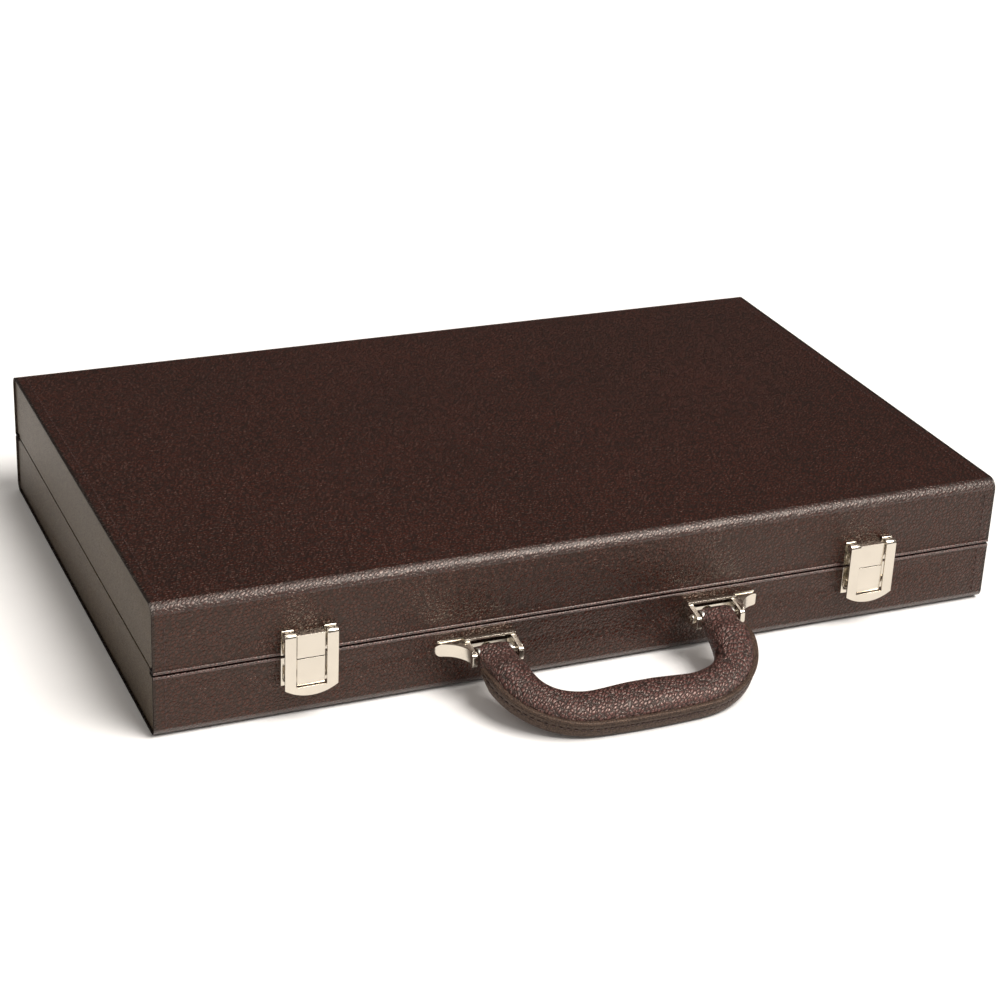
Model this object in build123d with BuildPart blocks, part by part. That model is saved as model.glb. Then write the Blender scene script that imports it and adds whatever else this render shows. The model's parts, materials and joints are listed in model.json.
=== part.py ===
from build123d import *
import math
import os

os.makedirs("parts", exist_ok=True)

# ---------------------------------------------------------------- case body
case_width = 480.0
case_depth = 306.0
case_height = 74.0
seam_height = 35.7
seam_gap = 1.0
leather = 1.2
wall_board = 5.0
flat_board = 4.0
foot_cover = 0.8
end_lip = 1.0
top_edge_radius = 6.0
bottom_edge_radius = 5.0
rim_radius = 0.9
lining = 0.8

half_width = case_width / 2
half_depth = case_depth / 2
front_face = -half_depth
base_top = seam_height - seam_gap / 2
lid_bottom = seam_height + seam_gap / 2
panel_face = half_width - end_lip
board_end = panel_face - leather
inner_half_width = board_end - wall_board
board_side = half_depth - leather
inner_half_depth = board_side - wall_board
base_floor = foot_cover + leather + flat_board
base_wall_top = base_top - leather
lid_wall_bottom = lid_bottom + leather
lid_ceiling = case_height - leather - flat_board

# ---------------------------------------------------------------- chip insert
stay_channel = 7.5
insert_fit = 0.2
insert_floor_board = 3.0
divider = 3.0
insert_height = 21.0
chip_rows = 10
chip_row_length = 168.0
card_well_width = 70.0
pad_depth = 11.8
pad_inset = 10.0

insert_half_width = inner_half_width - lining - stay_channel
insert_half_depth = inner_half_depth - lining - insert_fit
insert_bottom = base_floor + insert_floor_board
insert_top = insert_bottom + insert_height
row_width = (2 * insert_half_width - (chip_rows + 1) * divider) / chip_rows
row_pitch = row_width + divider
row_front = -insert_half_depth + divider
cross_wall_front = row_front + chip_row_length

# ---------------------------------------------------------------- back hinges
hinge_reach = 2.8
knuckle_radius = 2.5
hinge_pin_radius = 1.25
pin_clearance = 0.05
hinge_leaf = 1.2
leaf_height = 13.0
hinge_width = 60.0
hinge_centre = 150.0
hinge_knuckles = 5
knuckle_gap = 0.3
hinge_y = half_depth + hinge_reach
hinge_z = seam_height

# ---------------------------------------------------------------- latches
latch_centre = 160.7
latch_width = 28.5
latch_plate = 1.0
latch_plate_bottom = 19.3
latch_plate_top = 50.4
flap_width = 28.0
flap_sheet = 1.0
flap_tip = 14.9
flap_shoulder = 19.3
window_width = 16.2
window_bottom = 20.1
flap_front = front_face - 7.0
flap_back = flap_front + flap_sheet
latch_pin_radius = 0.7
roll_radius = 2.4
ear_bead = 0.8
ear_drop = 1.5
latch_pin_y = flap_front + roll_radius
latch_pin_z = latch_plate_top - roll_radius
boss_width = 14.6
boss_clearance = 0.3
boss_gap = 0.5
latch_rivet_radius = 1.3
latch_rivet_offset = 11.0

# ---------------------------------------------------------------- handle
ear_inner = 49.9
ear_outer = 78.1
ear_sheet = 2.6
ear_reach = 17.0
ear_top = 30.0
ear_bottom = 19.0
bracket_sheet = 1.2
roof_reach = 5.6
ear_slope = 2.4
tab_end = 93.3
tab_thickness = 3.4
gusset_bottom = 22.4
gusset_top = 29.4
gusset_waist_x = 83.0
gusset_waist = 7.0
bracket_screw_x = 84.0
bracket_screw_z = 25.9
bracket_screw_depth = 4.0
handle_pin_radius = 1.5
handle_pin_y = front_face - 11.2
handle_pin_z = 25.0
handle_droop = 17.5
handle_lug_width = 19.0
handle_end_radius = 4.6
handle_eye_radius = 3.2
leg_line = 62.8
grip_outer = 62.0
grip_width = 22.8
grip_height = 17.0
grip_rise = 1.0
grip_corner = 5.5
grip_bend = 36.0
leg_start = 14.0
leg_straight = 0.5
band_sheet = 1.5
band_height = 10.0
core_width = 10.0
core_sheet = 2.0
leg_centre = (ear_inner + ear_outer) / 2
grip_centre = grip_outer - grip_width / 2
bend_radius = min(grip_bend, grip_centre - leg_start - leg_straight)
handle_outer = leg_line + grip_width / 2
bend_outer = bend_radius + grip_width / 2

# ---------------------------------------------------------------- lid stays
stay_sheet = 1.6
stay_arm_radius = 4.5
stay_pin_radius = 1.8
lower_arm_face = insert_half_width + 1.5
upper_arm_face = lower_arm_face + stay_sheet + 1.0
base_pivot_forward = 50.0
base_pivot_down = 21.0
lid_pivot_forward = 80.0
lid_pivot_up = 22.0
lining_face = inner_half_width - lining

droop_cos = math.cos(math.radians(handle_droop))
droop_sin = math.sin(math.radians(handle_droop))
handle_plane = Plane(
    origin=(0, handle_pin_y, handle_pin_z),
    x_dir=(1, 0, 0),
    z_dir=(0, -droop_sin, droop_cos),
)


def block(x0, x1, y0, y1, z0, z1, mode=Mode.ADD):
    """Add a box between two corners to the part being built."""
    with Locations(((x0 + x1) / 2, (y0 + y1) / 2, (z0 + z1) / 2)):
        Box(abs(x1 - x0), abs(y1 - y0), abs(z1 - z0), mode=mode)


def bore_y(x, z, radius, y0, y1, mode=Mode.SUBTRACT):
    """Cut or add a round bar along Y between two depths."""
    with Locations(Location((x, (y0 + y1) / 2, z), (90, 0, 0))):
        Cylinder(radius, abs(y1 - y0), mode=mode)


def bar_x(y, z, radius, x0, x1, mode=Mode.ADD):
    """Cut or add a round bar along X between two stations."""
    with Locations(Location(((x0 + x1) / 2, y, z), (0, 90, 0))):
        Cylinder(radius, abs(x1 - x0), mode=mode)


def save(piece, label):
    """Label one finished piece and write its file."""
    piece.label = label
    export_step(piece, "parts/" + label + ".step")


latch_rivet_spots = []
for side in (-1, 1):
    for offset in (-latch_rivet_offset, latch_rivet_offset):
        latch_rivet_spots.append(side * latch_centre + offset)
lid_rivet_z = 41.0
base_rivet_z = 24.5
bracket_rivets = []
bracket_screws = []
for side in (-1, 1):
    bracket_screws.append((side * bracket_screw_x, bracket_screw_z))
    bracket_rivets.append((side * leg_centre, ear_bottom + 3.5))
hinge_screws = []
for side in (-1, 1):
    for offset in (-hinge_width / 2 + 8.0, hinge_width / 2 - 8.0):
        hinge_screws.append(side * hinge_centre + offset)
screw_radius = 1.2
base_screw_z = base_top - leaf_height + 4.0
lid_screw_z = lid_bottom + leaf_height - 4.0
rivet_radius = 1.5

# ================================================================= base shell
with BuildPart() as base_bottom_board:
    with BuildSketch(Plane.YZ.offset(-board_end)) as base_bottom_profile:
        with Locations((0, (base_floor + foot_cover + leather) / 2)):
            Rectangle(2 * board_side, flat_board)
        fillet(
            base_bottom_profile.vertices().group_by(Axis.Y)[0],
            bottom_edge_radius - leather,
        )
    extrude(amount=2 * board_end)
save(base_bottom_board.part, "base_bottom_board")

with BuildPart() as base_front_board:
    block(-board_end, board_end, -board_side, -inner_half_depth, base_floor, base_wall_top)
    for x in latch_rivet_spots:
        bore_y(x, base_rivet_z, latch_rivet_radius, -board_side - 1, -inner_half_depth + 1)
    for x, z in bracket_rivets + bracket_screws:
        bore_y(x, z, rivet_radius, -board_side - 1, -inner_half_depth + 1)
save(base_front_board.part, "base_front_board")

with BuildPart() as base_back_board:
    block(-board_end, board_end, inner_half_depth, board_side, base_floor, base_wall_top)
    for x in hinge_screws:
        bore_y(x, base_screw_z, screw_radius, board_side - 4.0, board_side + 1)
save(base_back_board.part, "base_back_board")

for side, name in ((-1, "left"), (1, "right")):
    with BuildPart() as base_end_board:
        block(
            side * inner_half_width, side * board_end,
            -inner_half_depth, inner_half_depth, base_floor, base_wall_top,
        )
    save(base_end_board.part, "base_" + name + "_board")

with BuildPart() as base_wrap:
    with BuildSketch(Plane.YZ.offset(-half_width)) as base_wrap_profile:
        with Locations((0, (base_top + foot_cover) / 2)):
            Rectangle(case_depth, base_top - foot_cover)
        fillet(base_wrap_profile.vertices().group_by(Axis.Y)[0], bottom_edge_radius)
        fillet(base_wrap_profile.vertices().group_by(Axis.Y)[-1], rim_radius)
        with BuildSketch(mode=Mode.PRIVATE) as base_inside:
            with Locations((0, (base_wall_top + foot_cover + leather) / 2)):
                Rectangle(2 * board_side, base_wall_top - foot_cover - leather)
            fillet(
                base_inside.vertices().group_by(Axis.Y)[0],
                bottom_edge_radius - leather,
            )
        add(base_inside.sketch, mode=Mode.SUBTRACT)
        with Locations((0, base_wall_top)):
            Rectangle(2 * inner_half_depth, 4 * leather, mode=Mode.SUBTRACT)
    extrude(amount=case_width)
    for x in latch_rivet_spots:
        bore_y(x, base_rivet_z, latch_rivet_radius, front_face - 1, -board_side + 1)
    for x, z in bracket_rivets + bracket_screws:
        bore_y(x, z, rivet_radius, front_face - 1, -board_side + 1)
    for x in hinge_screws:
        bore_y(x, base_screw_z, screw_radius, board_side - 1, half_depth + 1)
save(base_wrap.part, "base_wrap")

for side, name in ((-1, "left"), (1, "right")):
    with BuildPart() as base_end_panel:
        with BuildSketch(Plane.YZ.offset(side * board_end)) as base_end_outline:
            with Locations((0, (base_wall_top + foot_cover + leather) / 2)):
                Rectangle(2 * board_side, base_wall_top - foot_cover - leather)
            fillet(
                base_end_outline.vertices().group_by(Axis.Y)[0],
                bottom_edge_radius - leather,
            )
        extrude(amount=side * leather)
        block(
            side * inner_half_width, side * panel_face,
            -inner_half_depth, inner_half_depth, base_wall_top, base_top,
        )
    save(base_end_panel.part, "base_" + name + "_end_panel")

with BuildPart() as base_bottom_cover:
    with BuildSketch(Plane.XY):
        RectangleRounded(case_width - 14.0, case_depth - 14.0, 6.0)
    extrude(amount=foot_cover)
save(base_bottom_cover.part, "base_bottom_cover")

with BuildPart() as base_wall_lining:
    for side in (-1, 1):
        block(
            -inner_half_width, inner_half_width,
            side * (inner_half_depth - lining), side * inner_half_depth,
            base_floor, base_wall_top,
        )
        block(
            side * lining_face, side * inner_half_width,
            -inner_half_depth + lining, inner_half_depth - lining,
            base_floor, base_wall_top,
        )
save(base_wall_lining.part, "base_wall_lining")

# ================================================================= chip insert
with BuildPart() as insert_floor:
    block(
        -insert_half_width, insert_half_width,
        -insert_half_depth, insert_half_depth, base_floor, insert_bottom,
    )
save(insert_floor.part, "insert_floor")

with BuildPart() as insert_front_rail:
    block(
        -insert_half_width, insert_half_width,
        -insert_half_depth, row_front, insert_bottom, insert_top,
    )
save(insert_front_rail.part, "insert_front_rail")

with BuildPart() as insert_rear_rail:
    block(
        -insert_half_width, insert_half_width,
        insert_half_depth - divider, insert_half_depth, insert_bottom, insert_top,
    )
save(insert_rear_rail.part, "insert_rear_rail")

with BuildPart() as insert_side_rails:
    for side in (-1, 1):
        block(
            side * (insert_half_width - divider), side * insert_half_width,
            row_front, insert_half_depth - divider, insert_bottom, insert_top,
        )
save(insert_side_rails.part, "insert_side_rails")

with BuildPart() as insert_cross_wall:
    block(
        -insert_half_width + divider, insert_half_width - divider,
        cross_wall_front, cross_wall_front + divider, insert_bottom, insert_top,
    )
save(insert_cross_wall.part, "insert_cross_wall")

with BuildPart() as row_dividers:
    for row in range(1, chip_rows):
        x = -insert_half_width + row * row_pitch
        block(x, x + divider, row_front, cross_wall_front, insert_bottom, insert_top)
save(row_dividers.part, "row_dividers")

well_front = cross_wall_front + divider
well_rear = insert_half_depth - divider
with BuildPart() as well_dividers:
    for side in (-1, 1):
        for step in (1, 2):
            x = insert_half_width - step * (divider + card_well_width) - divider
            block(side * x, side * (x + divider), well_front, well_rear, insert_bottom, insert_top)
save(well_dividers.part, "well_dividers")

# ================================================================= lid shell
with BuildPart() as lid_top_board:
    with BuildSketch(Plane.YZ.offset(-board_end)) as lid_top_profile:
        with Locations((0, lid_ceiling + flat_board / 2)):
            Rectangle(2 * board_side, flat_board)
        fillet(
            lid_top_profile.vertices().group_by(Axis.Y)[-1],
            flat_board - 0.2,
        )
    extrude(amount=2 * board_end)
save(lid_top_board.part, "lid_top_board")

with BuildPart() as lid_front_board:
    block(-board_end, board_end, -board_side, -inner_half_depth, lid_wall_bottom, lid_ceiling)
    for x in latch_rivet_spots:
        bore_y(x, lid_rivet_z, latch_rivet_radius, -board_side - 1, -inner_half_depth + 1)
save(lid_front_board.part, "lid_front_board")

with BuildPart() as lid_back_board:
    block(-board_end, board_end, inner_half_depth, board_side, lid_wall_bottom, lid_ceiling)
    for x in hinge_screws:
        bore_y(x, lid_screw_z, screw_radius, board_side - 4.0, board_side + 1)
save(lid_back_board.part, "lid_back_board")

for side, name in ((-1, "left"), (1, "right")):
    with BuildPart() as lid_end_board:
        block(
            side * inner_half_width, side * board_end,
            -inner_half_depth, inner_half_depth, lid_wall_bottom, lid_ceiling,
        )
    save(lid_end_board.part, "lid_" + name + "_board")

lid_board_top = lid_ceiling + flat_board
with BuildPart() as lid_wrap:
    with BuildSketch(Plane.YZ.offset(-half_width)) as lid_wrap_profile:
        with Locations((0, (case_height + lid_bottom) / 2)):
            Rectangle(case_depth, case_height - lid_bottom)
        fillet(lid_wrap_profile.vertices().group_by(Axis.Y)[-1], top_edge_radius)
        fillet(lid_wrap_profile.vertices().group_by(Axis.Y)[0], rim_radius)
        with BuildSketch(mode=Mode.PRIVATE) as lid_inside:
            with Locations((0, (lid_board_top + lid_wall_bottom) / 2)):
                Rectangle(2 * board_side, lid_board_top - lid_wall_bottom)
            fillet(lid_inside.vertices().group_by(Axis.Y)[-1], flat_board - 0.2)
        add(lid_inside.sketch, mode=Mode.SUBTRACT)
        with Locations((0, lid_wall_bottom)):
            Rectangle(2 * inner_half_depth, 4 * leather, mode=Mode.SUBTRACT)
    extrude(amount=case_width)
    for x in latch_rivet_spots:
        bore_y(x, lid_rivet_z, latch_rivet_radius, front_face - 1, -board_side + 1)
    for x in hinge_screws:
        bore_y(x, lid_screw_z, screw_radius, board_side - 1, half_depth + 1)
save(lid_wrap.part, "lid_wrap")

for side, name in ((-1, "left"), (1, "right")):
    with BuildPart() as lid_end_panel:
        with BuildSketch(Plane.YZ.offset(side * board_end)) as lid_end_outline:
            with Locations((0, (lid_board_top + lid_wall_bottom) / 2)):
                Rectangle(2 * board_side, lid_board_top - lid_wall_bottom)
            fillet(lid_end_outline.vertices().group_by(Axis.Y)[-1], flat_board - 0.2)
        extrude(amount=side * leather)
        block(
            side * inner_half_width, side * panel_face,
            -inner_half_depth, inner_half_depth, lid_bottom, lid_wall_bottom,
        )
    save(lid_end_panel.part, "lid_" + name + "_end_panel")

with BuildPart() as lid_wall_lining:
    for side in (-1, 1):
        block(
            -inner_half_width, inner_half_width,
            side * (inner_half_depth - lining), side * inner_half_depth,
            lid_wall_bottom, lid_ceiling,
        )
        block(
            side * lining_face, side * inner_half_width,
            -inner_half_depth + lining, inner_half_depth - lining,
            lid_wall_bottom, lid_ceiling,
        )
save(lid_wall_lining.part, "lid_wall_lining")

with BuildPart() as lid_pad:
    with BuildSketch(Plane.XY.offset(lid_ceiling)):
        RectangleRounded(
            2 * (inner_half_width - pad_inset), 2 * (inner_half_depth - lining - 2.0), 6.0
        )
    extrude(amount=-pad_depth)
    fillet(lid_pad.faces().sort_by(Axis.Z)[0].edges(), 5.0)
save(lid_pad.part, "lid_pad")

# ================================================================= back hinges
knuckle_length = hinge_width / hinge_knuckles
for side, name in ((-1, "left"), (1, "right")):
    centre = side * hinge_centre
    for leaf, start in (("base", 0), ("lid", 1)):
        direction = -1 if leaf == "base" else 1
        edge = base_top if leaf == "base" else lid_bottom
        screw_z = base_screw_z if leaf == "base" else lid_screw_z
        with BuildPart() as hinge_part:
            block(
                centre - hinge_width / 2, centre + hinge_width / 2,
                half_depth, half_depth + hinge_leaf, edge, edge + direction * leaf_height,
            )
            for index in range(start, hinge_knuckles, 2):
                x0 = centre - hinge_width / 2 + index * knuckle_length
                left = 0 if index == 0 else knuckle_gap / 2
                right = 0 if index == hinge_knuckles - 1 else knuckle_gap / 2
                bar_x(
                    hinge_y, hinge_z, knuckle_radius,
                    x0 + left, x0 + knuckle_length - right,
                )
            for index in range(1 - start, hinge_knuckles, 2):
                x0 = centre - hinge_width / 2 + index * knuckle_length
                block(
                    x0 - knuckle_gap / 2, x0 + knuckle_length + knuckle_gap / 2,
                    half_depth - 1, hinge_y + knuckle_radius + 1,
                    hinge_z - knuckle_radius - 0.4, hinge_z + knuckle_radius + 0.4,
                    Mode.SUBTRACT,
                )
            bore = hinge_pin_radius if leaf == "base" else hinge_pin_radius + pin_clearance
            bar_x(
                hinge_y, hinge_z, bore,
                centre - hinge_width, centre + hinge_width, Mode.SUBTRACT,
            )
            for x in hinge_screws:
                if side * x > 0:
                    bore_y(x, screw_z, screw_radius, half_depth - 1, half_depth + 3)
        save(hinge_part.part, "hinge_" + name + "_" + leaf + "_leaf")

with BuildPart() as hinge_pins:
    for side in (-1, 1):
        bar_x(
            hinge_y, hinge_z, hinge_pin_radius,
            side * hinge_centre - hinge_width / 2, side * hinge_centre + hinge_width / 2,
        )
save(hinge_pins.part, "hinge_pins")

for leaf, screw_z in (("base", base_screw_z), ("lid", lid_screw_z)):
    with BuildPart() as hinge_screw_set:
        for x in hinge_screws:
            bore_y(x, screw_z, screw_radius, board_side - 4.0, half_depth + hinge_leaf, Mode.ADD)
            bore_y(
                x, screw_z, 2 * screw_radius,
                half_depth + hinge_leaf, half_depth + hinge_leaf + 0.8, Mode.ADD,
            )
            block(
                x - 2.0, x + 2.0, half_depth + hinge_leaf + 0.4,
                half_depth + hinge_leaf + 1.0, screw_z - 0.25, screw_z + 0.25, Mode.SUBTRACT,
            )
    save(hinge_screw_set.part, "hinge_" + leaf + "_screws")

# ================================================================= latches
plate_back = front_face
plate_front = front_face - latch_plate
boss_front = flap_back + boss_clearance
boss_top = latch_plate_top - ear_drop
for side, name in ((-1, "left"), (1, "right")):
    centre = side * latch_centre
    with BuildPart() as latch_lid_plate:
        block(
            centre - latch_width / 2, centre + latch_width / 2,
            plate_front, plate_back, lid_bottom + 0.3, boss_top,
        )
        block(
            centre - boss_width / 2, centre + boss_width / 2,
            boss_front, plate_front, seam_height + boss_gap / 2, boss_top,
        )
        for ear in (-1, 1):
            x0 = centre + ear * window_width / 2
            x1 = centre + ear * latch_width / 2
            block(x0, x1, plate_front, plate_back, boss_top, latch_plate_top)
            bar_x(plate_front, latch_plate_top - ear_bead, ear_bead, x0, x1)
        bar_x(
            latch_pin_y, latch_pin_z, latch_pin_radius,
            centre - latch_width, centre + latch_width, Mode.SUBTRACT,
        )
        for offset in (-latch_rivet_offset, latch_rivet_offset):
            bore_y(
                centre + offset, lid_rivet_z, latch_rivet_radius,
                plate_front - 1, plate_back + 1,
            )
    save(latch_lid_plate.part, name + "_latch_lid_plate")

    with BuildPart() as latch_base_plate:
        block(
            centre - latch_width / 2, centre + latch_width / 2,
            plate_front, plate_back, latch_plate_bottom, base_top - 0.3,
        )
        block(
            centre - boss_width / 2, centre + boss_width / 2,
            boss_front, plate_front, window_bottom + boss_gap, seam_height - boss_gap / 2,
        )
        for offset in (-latch_rivet_offset, latch_rivet_offset):
            bore_y(
                centre + offset, base_rivet_z, latch_rivet_radius,
                plate_front - 1, plate_back + 1,
            )
    save(latch_base_plate.part, name + "_latch_base_plate")

    with BuildPart() as latch_flap:
        with BuildSketch(Plane.XZ.offset(-flap_back)):
            with BuildLine():
                Line((centre - flap_width / 2, flap_shoulder), (centre - flap_width / 2, latch_pin_z))
                Line((centre - flap_width / 2, latch_pin_z), (centre + flap_width / 2, latch_pin_z))
                Line((centre + flap_width / 2, latch_pin_z), (centre + flap_width / 2, flap_shoulder))
                ThreePointArc(
                    (centre + flap_width / 2, flap_shoulder),
                    (centre, flap_tip),
                    (centre - flap_width / 2, flap_shoulder),
                )
            make_face()
            with Locations((centre, (window_bottom + latch_plate_top + 10) / 2)):
                Rectangle(
                    window_width, latch_plate_top + 10 - window_bottom, mode=Mode.SUBTRACT
                )
        extrude(amount=flap_sheet)
        for ear in (-1, 1):
            bar_x(
                latch_pin_y, latch_pin_z, roll_radius,
                centre + ear * window_width / 2, centre + ear * flap_width / 2,
            )
        bar_x(
            latch_pin_y, latch_pin_z, latch_pin_radius + pin_clearance,
            centre - latch_width, centre + latch_width, Mode.SUBTRACT,
        )
    save(latch_flap.part, name + "_latch_flap")

with BuildPart() as latch_pins:
    for side in (-1, 1):
        bar_x(
            latch_pin_y, latch_pin_z, latch_pin_radius,
            side * latch_centre - flap_width / 2, side * latch_centre + flap_width / 2,
        )
save(latch_pins.part, "latch_pins")

for leaf, z in (("base", base_rivet_z), ("lid", lid_rivet_z)):
    with BuildPart() as latch_rivet_set:
        for x in latch_rivet_spots:
            bore_y(x, z, latch_rivet_radius, plate_front, -inner_half_depth, Mode.ADD)
            bore_y(x, z, 2.2, plate_front - 0.8, plate_front, Mode.ADD)
    save(latch_rivet_set.part, "latch_" + leaf + "_rivets")

# ================================================================= handle mounts
bracket_front = front_face - bracket_sheet
ear_front = front_face - ear_reach


def gusset(side):
    """The curved brace that runs from the outer ear to a rounded tab."""
    with BuildPart() as brace:
        with BuildSketch(Plane.XY.offset(gusset_bottom)):
            with BuildLine():
                Polyline(
                    (side * tab_end, front_face),
                    (side * (ear_outer - 1.0), front_face),
                    (side * (ear_outer - 1.0), ear_front + 1.2),
                    (side * ear_outer, ear_front + 1.2),
                )
                ThreePointArc(
                    (side * ear_outer, ear_front + 1.2),
                    (side * gusset_waist_x, front_face - gusset_waist),
                    (side * (tab_end - 2.5), front_face - tab_thickness),
                )
                ThreePointArc(
                    (side * (tab_end - 2.5), front_face - tab_thickness),
                    (side * (tab_end - 0.6), front_face - 0.7 * tab_thickness),
                    (side * tab_end, front_face),
                )
            make_face()
        extrude(amount=gusset_top - gusset_bottom)
        with BuildSketch(Plane.XZ):
            with Locations((side * (tab_end - 15), (gusset_top + gusset_bottom) / 2)):
                RectangleRounded(30, gusset_top - gusset_bottom, 3.3)
        extrude(amount=case_depth, mode=Mode.INTERSECT)
    return brace.part


for side, name in ((-1, "left"), (1, "right")):
    with BuildPart() as handle_bracket:
        block(
            side * ear_inner, side * ear_outer, bracket_front, front_face, ear_bottom, ear_top,
        )
        block(
            side * (ear_inner + ear_sheet), side * (ear_outer - ear_sheet),
            bracket_front, front_face, handle_pin_z + 0.5, ear_top, Mode.SUBTRACT,
        )
        block(
            side * (ear_outer - 1), side * (tab_end - 1.8),
            bracket_front, front_face, gusset_top - 2, gusset_top + 0.9,
        )
        add(gusset(side))
        for x in (ear_inner, ear_outer - ear_sheet):
            with BuildSketch(Plane.YZ.offset(side * x)) as ear_outline:
                with BuildLine():
                    Polyline(
                        (bracket_front, ear_bottom),
                        (bracket_front, ear_top),
                        (front_face - roof_reach, ear_top),
                        (ear_front, ear_top - ear_slope),
                        (ear_front, ear_bottom + 1.5),
                        (bracket_front, ear_bottom),
                    )
                make_face()
                fillet(ear_outline.vertices().group_by(Axis.X)[0], 2.0)
            extrude(amount=side * ear_sheet)
        block(
            side * ear_inner, side * ear_outer,
            front_face - roof_reach, front_face, ear_top, ear_top + bracket_sheet,
        )
        bar_x(
            handle_pin_y, handle_pin_z, handle_pin_radius,
            side * (ear_inner - 5), side * ear_outer, Mode.SUBTRACT,
        )
        for x, z in bracket_rivets:
            if side * x > 0:
                bore_y(x, z, rivet_radius, bracket_front - 1, front_face + 1)
        for x, z in bracket_screws:
            if side * x > 0:
                bore_y(x, z, rivet_radius, front_face - bracket_screw_depth, front_face + 1)
    save(handle_bracket.part, name + "_handle_bracket")

with BuildPart() as bracket_rivet_set:
    for x, z in bracket_rivets:
        bore_y(x, z, rivet_radius, bracket_front, -inner_half_depth, Mode.ADD)
        bore_y(x, z, 2.6, bracket_front - 0.8, bracket_front, Mode.ADD)
save(bracket_rivet_set.part, "bracket_rivets")

with BuildPart() as bracket_screw_set:
    for x, z in bracket_screws:
        bore_y(x, z, rivet_radius, front_face - bracket_screw_depth, -inner_half_depth, Mode.ADD)
save(bracket_screw_set.part, "bracket_screws")

pin_head = 1.0
pin_head_radius = 2.7
with BuildPart() as handle_pins:
    for side in (-1, 1):
        bar_x(
            handle_pin_y, handle_pin_z, handle_pin_radius,
            side * ear_inner, side * ear_outer,
        )
        bar_x(
            handle_pin_y, handle_pin_z, pin_head_radius,
            side * (ear_inner - pin_head), side * ear_inner,
        )
        for size_y, size_z in ((3.6, 0.8), (0.8, 3.6)):
            block(
                side * (ear_inner - pin_head - 1), side * (ear_inner - pin_head + 0.7),
                handle_pin_y - size_y / 2, handle_pin_y + size_y / 2,
                handle_pin_z - size_z / 2, handle_pin_z + size_z / 2, Mode.SUBTRACT,
            )
save(handle_pins.part, "handle_pins")

# ================================================================= handle
core_outer = leg_line + core_width / 2
core_inner = leg_line - core_width / 2
with BuildPart() as handle_core:
    with BuildSketch(handle_plane.offset(-core_sheet / 2)):
        RectangleRounded(2 * core_outer, 2 * (grip_centre + core_width / 2), bend_radius + core_width / 2)
        RectangleRounded(
            2 * core_inner, 2 * (grip_centre - core_width / 2), bend_radius - core_width / 2,
            mode=Mode.SUBTRACT
        )
        with Locations((0, grip_outer)):
            Rectangle(4 * grip_outer, 2 * grip_outer, mode=Mode.SUBTRACT)
    extrude(amount=core_sheet)
    for side in (-1, 1):
        bar_x(
            handle_pin_y, handle_pin_z, handle_eye_radius,
            side * leg_centre - handle_lug_width / 2, side * leg_centre + handle_lug_width / 2,
        )
    bar_x(
        handle_pin_y, handle_pin_z, handle_pin_radius + pin_clearance,
        -case_width / 4, case_width / 4, Mode.SUBTRACT,
    )
save(handle_core.part, "handle_core")

leg_neck = 8.0
leg_neck_height = 8.8
lug_corner = 2.5
with BuildPart() as handle_padding:
    with BuildLine(handle_plane) as grip_path:
        FilletPolyline(
            (-leg_line, -leg_start),
            (-leg_line, -grip_centre),
            (leg_line, -grip_centre),
            (leg_line, -leg_start),
            radius=bend_radius,
        )
    for side in (-1, 1):
        leg_root = Plane(
            origin=handle_plane.from_local_coords((side * leg_centre, -leg_start, 0)),
            x_dir=(1, 0, 0),
            z_dir=(0, -droop_cos, -droop_sin),
        )
        leg_drift = side * (leg_line - leg_centre)
        with BuildSketch(leg_root.offset(-leg_start)):
            RectangleRounded(handle_lug_width - 0.6, leg_neck_height, lug_corner)
        extrude(amount=leg_neck)
        with BuildSketch(leg_root.offset(leg_neck - leg_start)):
            RectangleRounded(handle_lug_width - 0.6, leg_neck_height, lug_corner)
        with BuildSketch(leg_root):
            with Locations((leg_drift, grip_rise)):
                RectangleRounded(grip_width, grip_height, grip_corner)
        loft()
        bar_x(
            handle_pin_y, handle_pin_z, handle_end_radius,
            side * leg_centre - handle_lug_width / 2, side * leg_centre + handle_lug_width / 2,
        )
    with BuildSketch(Plane(
        origin=handle_plane.from_local_coords((-leg_line, -leg_start, 0)),
        x_dir=(1, 0, 0),
        z_dir=(0, -droop_cos, -droop_sin),
    )):
        with Locations((0, grip_rise)):
            RectangleRounded(grip_width, grip_height, grip_corner)
    sweep(path=grip_path.wire())
    add(handle_core.part, mode=Mode.SUBTRACT)
    bar_x(
        handle_pin_y, handle_pin_z, handle_eye_radius,
        -case_width / 4, case_width / 4, Mode.SUBTRACT,
    )
save(handle_padding.part, "handle_padding")

with BuildPart() as handle_edge_band:
    with BuildSketch(handle_plane.offset(-band_height / 2)):
        RectangleRounded(
            2 * (handle_outer + band_sheet), 2 * (grip_outer + band_sheet), bend_outer + band_sheet
        )
        RectangleRounded(2 * handle_outer, 2 * grip_outer, bend_outer, mode=Mode.SUBTRACT)
        with Locations((0, grip_outer - leg_start - 3.0)):
            Rectangle(4 * grip_outer, 2 * grip_outer, mode=Mode.SUBTRACT)
    extrude(amount=band_height)
save(handle_edge_band.part, "handle_edge_band")

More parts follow.
